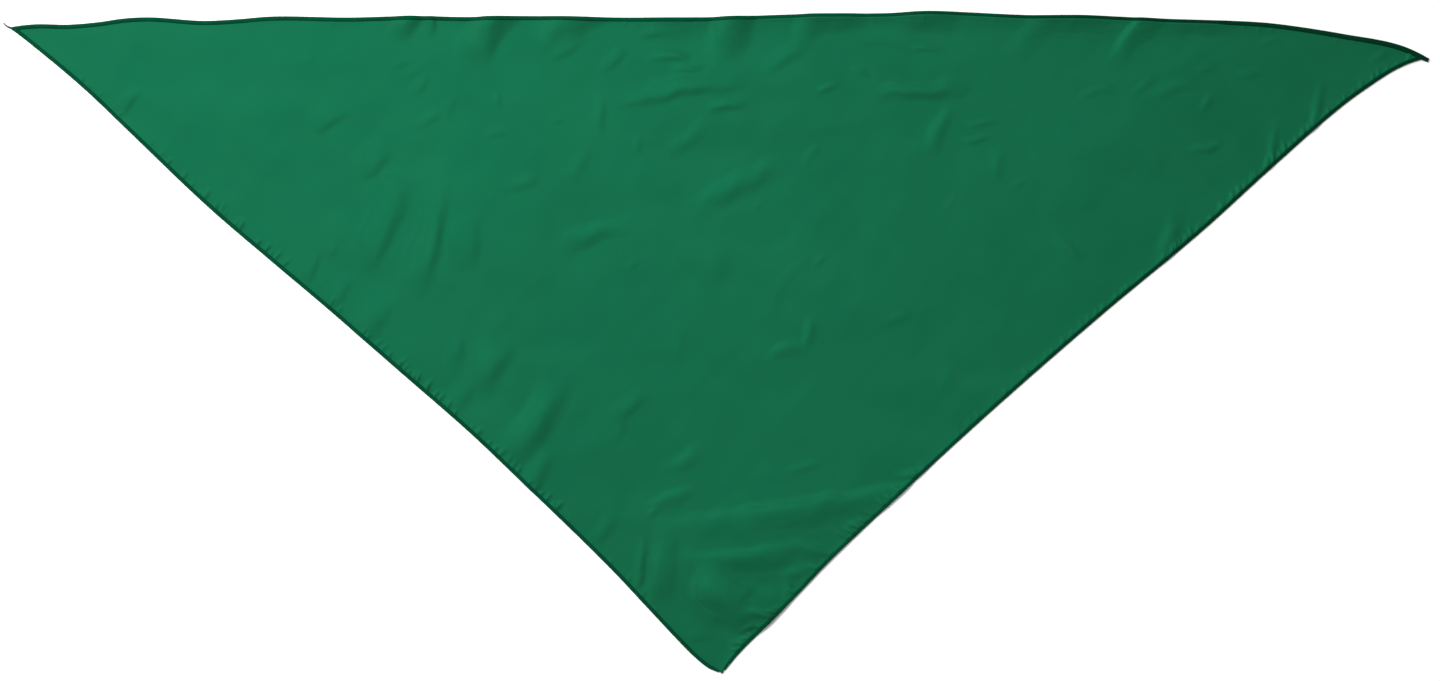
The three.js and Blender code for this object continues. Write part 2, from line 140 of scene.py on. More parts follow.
# The creases too fine for the solid panel, with the folds' columns.
CREASES = [
    (-413, 168, 32, 48, 2, 9, 3, 1.2),
    (-289, 199, 14, 20, 0, 6, 4, 0.25),
    (-266, 35, 28, 60, 0, 10, 6, 0.9),
    (-287, 52, 32, 62, 0, 9, 5, 0.9),
    (-270, 64, 14, 80, 0, 6, 4, 0.5),
    (-223, 196, 22, 25, 0, 6, 4, 0.4),
    (-215, 190, 18, 45, 0, 6, 4, 0.35),
    (-182, -40, 34, 65, 0, 11, 8, 1),
    (-185, -6, 28, 78, 0, 9, 7, 0.9),
    (-210, 181, 22, 60, 0, 6, 3, 0.6),
    (-203, 156, 24, 32, 0, 8, 4, 0.65),
    (-187, 168, 22, 65, 0, 7, 4, 0.3),
    (-155, 170, 14, 90, 0, 4, 3, 0.7),
    (-155, 147, 26, 5, 0, 6, 4, 0.5),
    (-138, 112, 32, 20, 0, 8, 5, 0.7),
    (-114, 156, 12, 10, 0, 4, 3, 0.4),
    (-107, 206, 34, 33, 0, 8, 5, 0.8),
    (-98, 125, 32, 53, 0, 8, 5, 0.5),
    (-82, 160, 32, 88, 0, 6, 4, 0.8),
    (-73, 199, 32, 38, 0, 8, 5, 0.8),
    (-57, 140, 14, 85, 0, 4, 3, 0.5),
    (-48, 217, 20, 20, 0, 6, 4, 0.7),
    (-35, 201, 34, 5, 0, 6, 4, 1.2),
    (-27, 201, 14, -5, 0, 4, 3, 0.7),
    (-21, 193, 30, 10, 0, 6, 4, 1.1),
    (-21, 144, 50, 44, 0, 7, 8, 0.7),
    (-6, 48, 60, 85, 0, 20, 16, 0.5),
    (6, 166, 34, 15, 0, 6, 4, 1.4),
    (28, 96, 16, 40, 0, 4, 3, 0.3),
    (47, -6, 32, 16, 0, 6, 7, 1.1),
    (63, 6, 26, 80, 0, 4, 7, 1.1),
    (54, 42, 56, 56, 6, 6, 5, 0.25),
    (72, 58, 16, 35, 0, 3, 3, 0.5),
    (77, 179, 18, 25, 0, 3, 3, 1.1),
    (100, 190, 18, -30, 0, 3, 3, 0.9),
    (66, 133, 26, 60, 0, 4, 4, 0.4),
    (127, 18, 30, 28, 0, 5, 6, 0.6),
    (146, 206, 30, -2, 0, 3, 3, 1.0),
    (187, 155, 28, 8, 0, 3, 3, 0.8),
    (182, 143, 24, 6, 0, 3, 3, 1.1),
    (196, 125, 26, 85, 0, 5, 5, 0.5),
    (164, 98, 18, 50, 0, 4, 4, 0.35),
    (211, 112, 20, 30, 0, 3, 3, 0.3),
    (266, 176, 28, 18, 0, 4, 4, 0.7),
    (246, 67, 34, -35, 0, 7, 6, 1.1),
    (300, 181, 26, 45, 0, 4, 4, 0.6),
    (320, 179, 44, 12, 0, 6, 6, 1.1),
    (344, 168, 18, 55, 0, 4, 4, 0.9),
    (343, 137, 30, 15, 0, 4, 4, 1.4),
    (343, 193, 18, 20, 0, 4, 4, 0.6),
    (375, 189, 24, 10, 0, 4, 4, 1.0),
    (389, 212, 18, 5, 0, 3, 3, 0.7),
    (466, 201, 20, 35, 0, 4, 4, 0.8),
    (162, -25, 30, 85, 0, 9, 9, 0.6),
    (-60, 54, 14, 25, 0, 4, 3, 0.4),
    (72, -149, 50, -10, 0, 6, 7, 1.2),
    (60, -88, 34, 18, 0, 4, 5, 0.65),
    (-62, -49, 46, 40, 4, 10, 7, 0.9),
    (-70, -62, 24, 70, 0, 6, 4, 0.5),
    (-27, 0, 34, 85, 0, 6, 5, 0.3),
    (-80, -132, 34, 55, 0, 8, 7, 0.9),
    (-45, -120, 14, 45, 0, 4, 2.5, 0.7),
    (-54, -159, 52, 84, 0, 5, 4, 1.7),
    (68, -145, 36, -8, 0, 6, 6, 1.1),
    (20, -176, 24, 27, 0, 8, 5, 0.8),
    (56, -162, 32, 3, 0, 6, 4, 1.1),
    (49, -173, 26, 88, 0, 6, 4, 1.0),
    (23, -201, 26, 20, 0, 4, 3, 1.3),
    (14, -212, 18, 20, 0, 4, 3, 0.9),
    (-12, -206, 30, 10, 0, 9, 6, 0.6),
    (100, -128, 26, 12, 0, 3.5, 4, 0.9),
    (32, -190, 34, -2, 0, 4, 4, 1.9),
]

# The gathers beside the hems, in groups along each edge. Columns: first and last place along the
# edge, how many, how far they reach in, how far they turn from square to it, and their height.
LONG_EDGE_GATHERS = [
    (110, 400, 9, 8, 0, 0.3),
    (430, 640, 9, 8, 0, 0.35),
    (650, 860, 9, 8, 0, 0.35),
    (870, 985, 5, 7, 0, 0.4),
]
RIGHT_EDGE_GATHERS = [
    (12, 68, 9, 6, -42, 1.1),
    (76, 138, 14, 8, -38, 1.7),
    (146, 232, 18, 8, -34, 1.6),
    (240, 385, 20, 6, -28, 1),
    (394, 424, 5, 9, -15, 1.1),
    (452, 494, 6, 10, 12, 1.1),
    (505, 531, 6, 14, 19, 1.9),
    (542, 590, 7, 8, 20, 0.9),
    (596, 642, 9, 11, 38, 1.7),
]
LEFT_EDGE_GATHERS = [
    (60, 150, 8, 7, 8, 0.6),
    (163, 192, 6, 8, 0, 1.5),
    (200, 246, 8, 8, 6, 1.2),
    (264, 314, 12, 9, 8, 1.9),
    (317, 350, 6, 9, 0, 1.3),
    (372, 384, 2, 9, 8, 0.9),
    (422, 446, 5, 10, 0, 1.2),
    (461, 507, 8, 9, 8, 1.8),
    (518, 550, 4, 8, 0, 1.1),
    (580, 634, 5, 7, 8, 0.8),
]

# What a group's row leaves open is drawn at random. A gather's place varies by this share of the
# gap between two of them, and its direction by this many degrees. Its length, width and height
# lie between these shares of the usual ones.
GATHER_SEED = 11
GATHER_HALF_WIDTH = 2
GATHER_PLACE_SHARE = 0.45
GATHER_WAVER = 10
GATHER_LENGTHS = (0.35, 1.15)
GATHER_WIDTHS = (0.65, 1.3)
GATHER_HEIGHTS = (0.35, 1.35)

# The cloth is sewn into each hem at a seam, this far under the hem's inner side. It rises to the
# seam over a depth of about its fall, and the gathers fade out beside the seam over theirs. At
# the front corner the cloth shows as a small bare tip. Columns of the rises: at, rise.
SEAM_OVERLAP = 0.6
LONG_SEAM_RISES = [(0, 0.5), (480, 0.8), (570, 1.7), (840, 1.8), (865, 0.6), (1000, 0.9)]
RIGHT_SEAM_RISES = [(0, 0.9), (659, 1.2)]
LEFT_SEAM_RISES = [(0, 0.5), (678, 0.5)]
SEAM_FALL = 3.6
GATHER_FALL = 0.5
BARE_TIP_LENGTH = 5
BARE_TIP_INSET = 0.9

# The short hems end this far before the front corner, and the long one starts this far along
# its edge. A free end narrows to a tip of these shares of the full size.
HEM_END_GAP = 2.5
LONG_HEM_START = 3
TIP_LENGTH = 7
LONG_HEM_TIPS = (0.8, 0.7)
RIGHT_HEM_TIPS = (1, 0.5)
LEFT_HEM_TIPS = (0.5, 1)

# A corner of the seams is looked for within this reach of an edge's end, by halving it so often.
CORNER_REACH = 60
CORNER_ROUNDS = 40

# The cloth's nets of triangles, finer on top than underneath: rings that follow the seams, with
# the step between places on each, and an even net inside them, over this half size. A ring keeps
# a share of its step clear of the other rings, and the net a share of its step clear of the last
# ring. Columns of the rings: distance from the seam, step.
RIM_STEP = 1.1
TOP_RINGS = [
    (0.9, 1.1), (1.8, 1.1), (2.8, 1.1), (3.8, 1.1), (4.9, 1.15), (6.0, 1.2), (7.2, 1.35),
    (8.5, 1.6), (10.1, 1.9),
]
TOP_STEP = 2.1
UNDER_RINGS = [(2.2, 3), (6.7, 5)]
UNDER_STEP = 5.6
NET_HALF_SIZE = (500, 235)
RING_CLEARANCE = 1 / 3
NET_CLEARANCE = 0.6

# The triangulation keeps what is inside the rim, and takes places this close together as one.
INSIDE_ONLY = 1
SAME_PLACE = 1e-6

# The underside lies at the lowest of the heights at a place and in so many directions round it.
DIRECTIONS_AROUND = 8

# The ripple all over the cloth is a sum of waves about this level, cut off below 0.
RIPPLE_SEED = 3
RIPPLE_COUNT = 26
RIPPLE_WAVELENGTHS = (16, 70)
RIPPLE_SLOPE = 0.006
RIPPLE_LEVEL = 0.4

# The folds wander from their tables' smooth shapes by another sum of waves.
WANDER_SEED = 7
WANDER_COUNT = 14
WANDER_WAVELENGTHS = (9, 45)
WANDER_SLOPE = 0.08

# The sewn thread that winds round each hem. Its turns slip to and fro along the hem, and swell
# and shrink round a share of the full size. Columns: amount, run of the hem in each radian,
# start in radians.
THREAD_PITCH = 0.95
THREAD_HALF_WIDTH = 0.3
THREAD_HALF_THICKNESS = 0.15
CORE_HALF_HEIGHT = HEM_HEIGHT / 2 - THREAD_HALF_THICKNESS
THREAD_SLIPS = [(0.5, 3.7, 0), (0.4, 1.9, 0)]
THREAD_RADIUS = 0.95
THREAD_SWELLINGS = [(0.03, 2.3, 0), (0.02, 5.9, 1)]
STEPS_PER_TURN = 8
THREAD_SIDES = 5
CORE_STEP = 1.6
CORE_SIDES = 12

# The loose end of thread at the left corner. Columns: x, y, z.
TAIL_ROUTE = [
    (-494, 220.5, 0.9), (-497, 220.9, 1.1), (-499.6, 221.8, 1.5), (-501.6, 223, 1.4),
    (-502.9, 224.8, 0.8),
]
TAIL_RADIUS = 0.75
TAIL_END_SHARE = 0.55
TAIL_PLACES = 33
TAIL_SMOOTHINGS = 12
TAIL_SIDES = 8

# The satin's threads run one way and others cross them, and a cloud of tone lies over both. Each
# is a noise, turned by degrees, with its waves in a millimetre along X, Y and Z. The weave is the
# two kinds of thread, with this share of the tone. A bump is a strength and a height.
SATIN_TONES = ((0.0047, 0.078, 0.034), (0.0062, 0.091, 0.0395))
SATIN_ROUGHNESS = (0.56, 0.64)
SATIN_TURN = 48
SATIN_THREADS = (0.35, 3.2, 1)
SATIN_CROSSING = (2.6, 0.3, 1)
SATIN_CLOUD_TURN = 20
SATIN_CLOUD = (0.012, 0.02, 1)
SATIN_WEAVE_SHARE = 0.4
SATIN_BUMP = (0.25, 0.06)

# The hem thread's tones, darker at the right as painted shade and paler at the left as painted
# light, with the places along X where the change from one to the other starts and ends. Its fibre
# and its patches are noises too, and each sets the tone between two shares.
SHADED_THREAD_TONES = ((0.0001, 0.013, 0.004), (0.0003, 0.024, 0.009))
LIT_THREAD_TONES = ((0.0002, 0.028, 0.011), (0.0005, 0.054, 0.023))
PAINTED_LIGHT_START = 320
PAINTED_LIGHT_END = 60
THREAD_FIBRE = (4, 4, 4)
THREAD_FIBRE_TONES = (0.4, 1)
THREAD_PATCHES = (0.06, 0.06, 0.06)
THREAD_PATCH_TONES = (0.5, 1)
THREAD_ROUGHNESS = (0.62, 0.8)
THREAD_BUMP = (0.4, 0.08)

# A noise's usual range, and the roughness of a sheen.
NOISE_RANGE = (0.3, 0.7)
SHEEN_ROUGHNESS = 0.45

# The floor lies just below the cloth.
FLOOR_HALF_SIZE = 20000
FLOOR_DROP = 0.2
FLOOR_TONE = 0.95
FLOOR_ROUGHNESS = 0.9

# The light: square lamps that shine at the middle of the kerchief, and a white room. Columns:
# name, place, size, power.
LAMPS = [
    ("key", (-500, 600, 1420), 600, 27),
    ("side", (-3600, 1700, 1700), 1500, 60),
]
ROOM_BRIGHTNESS = 0.46

# The camera looks straight down on a frame this wide, with its middle at this place.
VIEW_WIDTH = 1014.1
VIEW_MIDDLE = (1.4, 1.1)
LENS = 70
SENSOR = 36


class Edge:
    """One side of the outline, run clockwise from its start corner, seen from above."""

    def __init__(self, start, end, waves, hem_widths, seam_rises):
        run = np.subtract(end, start).astype(float)
        self.start = np.array(start, float)
        self.length = float(np.hypot(*run))
        self.along = run / self.length
        self.outward = np.array([-self.along[1], self.along[0]])
        self.hem_width, self.hem_end_width = hem_widths
        self.seam = self.hem_width - SEAM_OVERLAP
        self.rise_places, self.rises = np.array(seam_rises, float).T
        self.places, self.offsets = np.array(waves, float).T
        secants = np.diff(self.offsets) / np.diff(self.places)
        self.slopes = np.concatenate([secants[:1], (secants[:-1] + secants[1:]) / 2, secants[-1:]])

    def out(self, at):
        """How far the outline stands out at a place: a smooth curve through the waves."""
        at = np.clip(at, 0, self.places[-1])
        left = np.searchsorted(self.places, at, side="right") - 1
        left = np.clip(left, 0, len(self.places) - 2)
        span = self.places[left + 1] - self.places[left]
        t = (at - self.places[left]) / span
        return (
            (1 + 2 * t) * (1 - t) ** 2 * self.offsets[left]
            + t * (1 - t) ** 2 * span * self.slopes[left]
            + t**2 * (3 - 2 * t) * self.offsets[left + 1]
            - t**2 * (1 - t) * span * self.slopes[left + 1]
        )

    def points(self, at, inset):
        """Places on the line that runs at this inset from the outline."""
        at = np.asarray(at, float)
        out = self.out(at) - inset
        return self.start + at[..., None] * self.along + out[..., None] * self.outward

    def depth(self, points):
        """How far places lie inside this edge's outline."""
        offset = points - self.start
        return self.out(offset @ self.along) - offset @ self.outward

    def seam_rise(self, points):
        """How high the cloth rises to its seam, opposite each place."""
        return np.interp((points - self.start) @ self.along, self.rise_places, self.rises)

    def width(self, at):
        """The hem's width at a place, which may change towards the edge's end."""
        change = [self.length - HEM_WIDENING, self.length]
        return np.interp(at, change, [self.hem_width, self.hem_end_width])

    def past_seam(self, points):
        """How far places lie inside this edge's seam."""
        return self.depth(points) - self.seam

    def crossing(self, inset, other, other_inset, towards):
        """Where this inset line meets the other edge's, near this edge's end (1) or start (-1)."""
        outside = self.length if towards > 0 else 0.0
        inside = outside - towards * CORNER_REACH
        for _ in range(CORNER_ROUNDS):
            middle = (outside + inside) / 2
            if other.depth(self.points(middle, inset)) > other_inset:
                inside = middle
            else:
                outside = middle
        return inside


LONG_EDGE = Edge(LEFT_CORNER, RIGHT_CORNER, LONG_EDGE_WAVES, LONG_HEM_WIDTHS, LONG_SEAM_RISES)
RIGHT_EDGE = Edge(RIGHT_CORNER, FRONT_CORNER, RIGHT_EDGE_WAVES, SHORT_HEM_WIDTHS, RIGHT_SEAM_RISES)
LEFT_EDGE = Edge(FRONT_CORNER, LEFT_CORNER, LEFT_EDGE_WAVES, SHORT_HEM_WIDTHS, LEFT_SEAM_RISES)
EDGES = (LONG_EDGE, RIGHT_EDGE, LEFT_EDGE)


def fade(offset):
    """1 in the middle, falling smoothly to 0 at -1 and 1."""
    return np.clip(1 - offset**2, 0, None) ** 2


def fold_heights(folds, points):
    """The height that a table of folds gives to each place."""
    total = np.zeros(len(points))
    for x, y, length, turn, bend, upper, lower, rise in folds:
        angle = math.radians(turn)
        east, north = points[:, 0] - x, points[:, 1] - y
        along = (east * math.cos(angle) + north * math.sin(angle)) / (length / 2)
        across = north * math.cos(angle) - east * math.sin(angle) - bend * (1 - along**2)
        flank = np.where(across > 0, upper, lower)
        total += rise * fade(along) * fade(across / flank)
    return total


def gather_folds():
    """A short narrow fold for each gather, running in from the hem."""
    random = np.random.default_rng(GATHER_SEED)
    folds = []
    tables = (LONG_EDGE_GATHERS, RIGHT_EDGE_GATHERS, LEFT_EDGE_GATHERS)
    for edge, groups in zip(EDGES, tables):
        for first, last, count, reach, lean, rise in groups:
            gap = (last - first) / max(count - 1, 1)
            for number in range(count):
                shift = random.uniform(-GATHER_PLACE_SHARE, GATHER_PLACE_SHARE)
                at = first + (number + shift) * gap
                length = 2 * reach * random.uniform(*GATHER_LENGTHS)
                x, y = edge.points(at, edge.hem_width)
                inward = math.degrees(math.atan2(-edge.outward[1], -edge.outward[0]))
                turn = inward + lean + random.uniform(-GATHER_WAVER, GATHER_WAVER)
                half = GATHER_HALF_WIDTH * random.uniform(*GATHER_WIDTHS)
                height = rise * random.uniform(*GATHER_HEIGHTS)
                folds.append((x, y, length, turn, 0, half, half, height))
    return folds


def waves(points, seed, count, wavelengths, slope):
    """Waves over the cloth in random directions, no steeper than slope: a column for each."""
    random = np.random.default_rng(seed)
    number = 2 * math.pi / random.uniform(*wavelengths, count)
    angle = random.uniform(0, 2 * math.pi, count)
    phase = random.uniform(0, 2 * math.pi, count)
    travel = points @ np.array([np.cos(angle), np.sin(angle)])
    return slope / number * np.sin(number * travel + phase)


def wandered(points):
    """Places moved a little to and fro, so that a fold that is looked up there runs unevenly."""
    shift = waves(points, WANDER_SEED, WANDER_COUNT, WANDER_WAVELENGTHS, WANDER_SLOPE)
    half = WANDER_COUNT // 2
    return points + np.column_stack([shift[:, :half].sum(axis=1), shift[:, half:].sum(axis=1)])


def base_lift(points):
    """Height of the cloth's underside over the floor, without the finest relief."""
    places, lifts = np.array(LONG_EDGE_LIFTS, float).T
    edge_lift = np.interp((points - LONG_EDGE.start) @ LONG_EDGE.along, places, lifts)
    share = np.clip(1 - LONG_EDGE.depth(points) / LONG_EDGE_FALL, 0, 1)
    return fold_heights(SWELLS + FOLDS + EDGE_FOLDS, wandered(points)) + edge_lift * share**2


def cloth_lift(points):
    """Height of the cloth's underside over the floor, with creases, gathers and ripples."""
    depths = [np.clip(edge.past_seam(points), 0, None) for edge in EDGES]
    rises = [
        edge.seam_rise(points) * np.exp(-depth / SEAM_FALL) for edge, depth in zip(EDGES, depths)
    ]
    seam = np.max(rises, axis=0)
    inner = 1 - np.exp(-np.min(depths, axis=0) / SEAM_FALL)
    beside = 1 - np.exp(-np.min(depths, axis=0) / GATHER_FALL)
    gathers = beside * fold_heights(gather_folds(), points)
    fine = fold_heights(CREASES, wandered(points))
    ripples = waves(points, RIPPLE_SEED, RIPPLE_COUNT, RIPPLE_WAVELENGTHS, RIPPLE_SLOPE)
    fine += np.clip(RIPPLE_LEVEL + ripples.sum(axis=1), 0, None)
    return base_lift(points) + seam + gathers + inner * fine


def outline_loop():
    """The cloth's rim, a closed loop of places along the seams, with its bare tip in front."""
    tip_reach = [0, BARE_TIP_LENGTH]
    stretches = []
    for index, edge in enumerate(EDGES):
        before, after = EDGES[index - 1], EDGES[(index + 1) % len(EDGES)]
        starts_bare, ends_bare = edge is LEFT_EDGE, edge is RIGHT_EDGE
        first_inset = BARE_TIP_INSET if starts_bare else edge.seam
        last_inset = BARE_TIP_INSET if ends_bare else edge.seam
        before_inset = BARE_TIP_INSET if starts_bare else before.seam
        after_inset = BARE_TIP_INSET if ends_bare else after.seam
        first = edge.crossing(first_inset, before, before_inset, -1)
        last = edge.crossing(last_inset, after, after_inset, 1)
        at = np.linspace(first, last, round((last - first) / RIM_STEP), endpoint=False)
        inset = np.minimum(
            np.interp(at - first, tip_reach, [first_inset, edge.seam]),
            np.interp(last - at, tip_reach, [last_inset, edge.seam]),
        )
        stretches.append(edge.points(at, inset))
    return np.concatenate(stretches)


def inner_places(rings, net_step):
    """The places inside the rim: rings along the seams, then an even net of triangles."""
    found = []
    for distance, step in rings:
        for edge in EDGES:
            places = edge.points(np.arange(0, edge.length, step), edge.seam + distance)
            others = [other for other in EDGES if other is not edge]
            nearest = np.min([other.past_seam(places) for other in others], axis=0)
            found.append(places[nearest > distance + step * RING_CLEARANCE])
    half_width, half_depth = NET_HALF_SIZE
    rows = np.arange(-half_depth, half_depth, net_step * math.sqrt(3) / 2)
    columns = np.arange(-half_width, half_width, net_step)
    x, y = np.meshgrid(columns, rows)
    x = x + (np.arange(len(rows)) % 2)[:, None] * net_step / 2
    net = np.stack([x.ravel(), y.ravel()], axis=1)
    nearest = np.min([edge.past_seam(net) for edge in EDGES], axis=0)
    found.append(net[nearest > rings[-1][0] + net_step * NET_CLEARANCE])
    return np.concatenate(found)


def triangulated(rim, inner):
    """The places of the rim, in order, and those inside it, and the triangles between them."""
    places = [Vector(place) for place in np.concatenate([rim, inner])]
    loop = [(index, (index + 1) % len(rim)) for index in range(len(rim))]
    net = delaunay_2d_cdt(places, loop, [], INSIDE_ONLY, SAME_PLACE)
    corners, _, triangles = net[:3]
    return np.array([tuple(corner) for corner in corners]), np.array(triangles)


def lowest_around(points, reach):
    """The cloth's lowest height at each place or around it."""
    lowest = cloth_lift(points)
    for radius in (reach / 2, reach):
        for angle in np.arange(DIRECTIONS_AROUND) * 2 * math.pi / DIRECTIONS_AROUND:
            shift = radius * np.array([math.cos(angle), math.sin(angle)])
            lowest = np.minimum(lowest, cloth_lift(points + shift))
    return lowest


def make_mesh(name, vertices, faces):
    """A smooth-shaded mesh object from places in millimetres."""
    mesh = bpy.data.meshes.new(name)
    mesh.from_pydata((np.asarray(vertices) * MM).tolist(), [], faces)
    mesh.validate()
    mesh.shade_smooth()
    piece = bpy.data.objects.new(name, mesh)
    bpy.context.scene.collection.objects.link(piece)
    return piece


def make_sheet():
    """The satin: a fine top skin and a coarser one below it, joined by a thin rim."""
    rim = outline_loop()
    top_plan, top_faces = triangulated(rim, inner_places(TOP_RINGS, TOP_STEP))
    under_plan, under_faces = triangulated(rim, inner_places(UNDER_RINGS, UNDER_STEP))
    top = np.column_stack([top_plan, cloth_lift(top_plan) + CLOTH_THICKNESS])
    low = lowest_around(under_plan, UNDER_STEP)
    low[: len(rim)] = cloth_lift(rim)
    under = np.column_stack([under_plan, low])
    base = len(top)
    around = np.arange(len(rim))
    following = (around + 1) % len(rim)
    walls = np.stack([around, following, following + base, around + base], axis=1)
    faces = top_faces.tolist() + (under_faces[:, ::-1] + base).tolist() + walls.tolist()
    return make_mesh("satin_sheet", np.concatenate([top, under]), faces)


def sweep(centres, first, second, sides):
    """A capped tube with a ring round each centre, spanned by the two axes given for it."""
    angles = np.arange(sides) * 2 * math.pi / sides
    rings = (
        centres[:, None]
        + np.cos(angles)[None, :, None] * first[:, None]
        + np.sin(angles)[None, :, None] * second[:, None]
    )
    start = np.arange(len(centres) - 1)[:, None] * sides
    near = (start + np.arange(sides)).ravel()
    beside = (start + (np.arange(sides) + 1) % sides).ravel()
    walls = np.stack([near, beside, beside + sides, near + sides], axis=1).tolist()
    last = (len(centres) - 1) * sides
    caps = [list(range(sides))[::-1], list(range(last, last + sides))]
    return rings.reshape(-1, 3), walls + caps


def join(parts):
    """The vertices and faces of several tubes as one list of each."""
    vertices, faces, count = [], [], 0
    for places, polygons in parts:
        vertices.append(places)
        faces.extend([[corner + count for corner in polygon] for polygon in polygons])
        count += len(places)
    return np.concatenate(vertices), faces


def unit(vectors):
    """The same directions, one long."""
    return vectors / np.linalg.norm(vectors, axis=1, keepdims=True)


def hem_line(edge, at):
    """The hem's centre line with its directions across and above."""
    plan = edge.points(at, edge.width(at) / 2)
    centres = np.column_stack([plan, base_lift(plan) + HEM_HEIGHT / 2])
    ahead = unit(np.gradient(centres, axis=0))
    across = unit(np.column_stack([-ahead[:, 1], ahead[:, 0], np.zeros(len(ahead))]))
    return centres, across, np.cross(ahead, across)


def hem_half_width(edge, at):
    """Half the hem's width at each place, without the thread's own thickness."""
    return edge.width(at)[:, None] / 2 - THREAD_HALF_THICKNESS


def hem_scale(at, first, last, tips):
    """The hem's size as a share of its full section: it narrows at a free tip."""
    start = np.interp(at - first, [0, TIP_LENGTH], [tips[0], 1])
    end = np.interp(last - at, [0, TIP_LENGTH], [tips[1], 1])
    return np.minimum(start, end)[:, None]


def wobble(rows, at):
    """The sum of a few waves along a hem."""
    return sum(amount * np.sin(at / run + start) for amount, run, start in rows)


def hem_core(edge, first, last, tips):
    """The rolled cloth of a hem."""
    at = np.linspace(first, last, round((last - first) / CORE_STEP))
    centres, across, above = hem_line(edge, at)
    scale = hem_scale(at, first, last, tips)
    wide = across * hem_half_width(edge, at) * scale
    return sweep(centres, wide, above * CORE_HALF_HEIGHT * scale, CORE_SIDES)


def hem_coil(edge, first, last, tips):
    """The thread wound round a hem."""
    turns = (last - first) / THREAD_PITCH
    at = np.linspace(first, last, round(turns * STEPS_PER_TURN))
    centres, across, above = hem_line(edge, at)
    half_width = hem_half_width(edge, at)
    angle = (at * 2 * math.pi / THREAD_PITCH + wobble(THREAD_SLIPS, at))[:, None]
    share = (THREAD_RADIUS + wobble(THREAD_SWELLINGS, at))[:, None]
    radius = hem_scale(at, first, last, tips) * share
    aside, upwards = across * np.cos(angle), above * np.sin(angle)
    thread = centres + aside * half_width * radius + upwards * CORE_HALF_HEIGHT * radius
    forward = unit(np.gradient(thread, axis=0))
    outward = aside * CORE_HALF_HEIGHT + upwards * half_width
    outward = unit(outward - forward * np.sum(outward * forward, axis=1, keepdims=True))
    thick = outward * THREAD_HALF_THICKNESS
    broad = np.cross(forward, outward) * THREAD_HALF_WIDTH
    return sweep(thread, thick, broad, THREAD_SIDES)


def make_hem(name, edge, first, last, tips):
    """A hem along a stretch of its edge: the rolled cloth and the thread round it."""
    core = hem_core(edge, first, last, tips)
    coil = hem_coil(edge, first, last, tips)
    return make_mesh(name, *join([core, coil]))


def dress(piece, node, material):
    """Gives a piece its material, and lets it stand for a node of the solid part."""
    piece.data.materials.append(material)
    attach(piece, "root")
    if node:
        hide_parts(node)


def principled(name, specular, specular_tint, sheen, sheen_tint):
    """A new material, its node tree and its shader."""
    material = bpy.data.materials.new(name)
    material.use_nodes = True
    tree = material.node_tree
    shader = tree.nodes["Principled BSDF"]
    shader.inputs["Specular IOR Level"].default_value = specular
    shader.inputs["Specular Tint"].default_value = (*specular_tint, 1)
    shader.inputs["Sheen Weight"].default_value = sheen
    shader.inputs["Sheen Roughness"].default_value = SHEEN_ROUGHNESS
    shader.inputs["Sheen Tint"].default_value = (*sheen_tint, 1)
    return material, tree, shader


def add_node(tree, kind, **settings):
    """A new node with some of its settings."""
    node = tree.nodes.new(kind)
    for name, value in settings.items():
        setattr(node, name, value)
    return node


def object_place(tree, turn, scale):
    """The object's own coordinates in millimetres, turned about Z by degrees and scaled."""
    place = add_node(tree, "ShaderNodeTexCoord")
    mapping = add_node(tree, "ShaderNodeMapping")
    mapping.inputs["Rotation"].default_value = (0, 0, math.radians(turn))
    mapping.inputs["Scale"].default_value = tuple(value / MM for value in scale)
    tree.links.new(place.outputs["Object"], mapping.inputs["Vector"])
    return mapping.outputs["Vector"]


def noise(tree, turn, scale, detail):
    """A noise over the object, turned and stretched, with this much detail."""
    node = add_node(tree, "ShaderNodeTexNoise")
    node.inputs["Scale"].default_value = 1
    node.inputs["Detail"].default_value = detail
    tree.links.new(object_place(tree, turn, scale), node.inputs["Vector"])
    return node.outputs["Fac"]


def ramp(tree, value, low, high):
    """Maps a noise's usual range onto another range."""
    node = add_node(tree, "ShaderNodeMapRange")
    node.inputs["From Min"].default_value = NOISE_RANGE[0]
    node.inputs["From Max"].default_value = NOISE_RANGE[1]
    node.inputs["To Min"].default_value = low
    node.inputs["To Max"].default_value = high
    tree.links.new(value, node.inputs["Value"])
    return node.outputs["Result"]


def colour_between(tree, factor, first, second):
    """A mix of two colours, each given as numbers or as a node's output."""
    node = add_node(tree, "ShaderNodeMix", data_type="RGBA")
    for name, colour in (("A", first), ("B", second)):
        if isinstance(colour, tuple):
            node.inputs[name].default_value = (*colour, 1)
        else:
            tree.links.new(colour, node.inputs[name])
    tree.links.new(factor, node.inputs["Factor"])
    return node.outputs["Result"]


def bump(tree, shader, height, strength, distance):
    """Lets a height in millimetres roughen the shader's surface."""
    node = add_node(tree, "ShaderNodeBump")
    node.inputs["Strength"].default_value = strength
    node.inputs["Distance"].default_value = distance * MM
    tree.links.new(height, node.inputs["Height"])
    tree.links.new(node.outputs["Normal"], shader.inputs["Normal"])


def combined(tree, operation, first, second):
    """A sum or product of two outputs, or of an output and a number."""
    node = add_node(tree, "ShaderNodeMath", operation=operation)
    for index, value in enumerate((first, second)):
        if isinstance(value, float):
            node.inputs[index].default_value = value
        else:
            tree.links.new(value, node.inputs[index])
    return node.outputs["Value"]


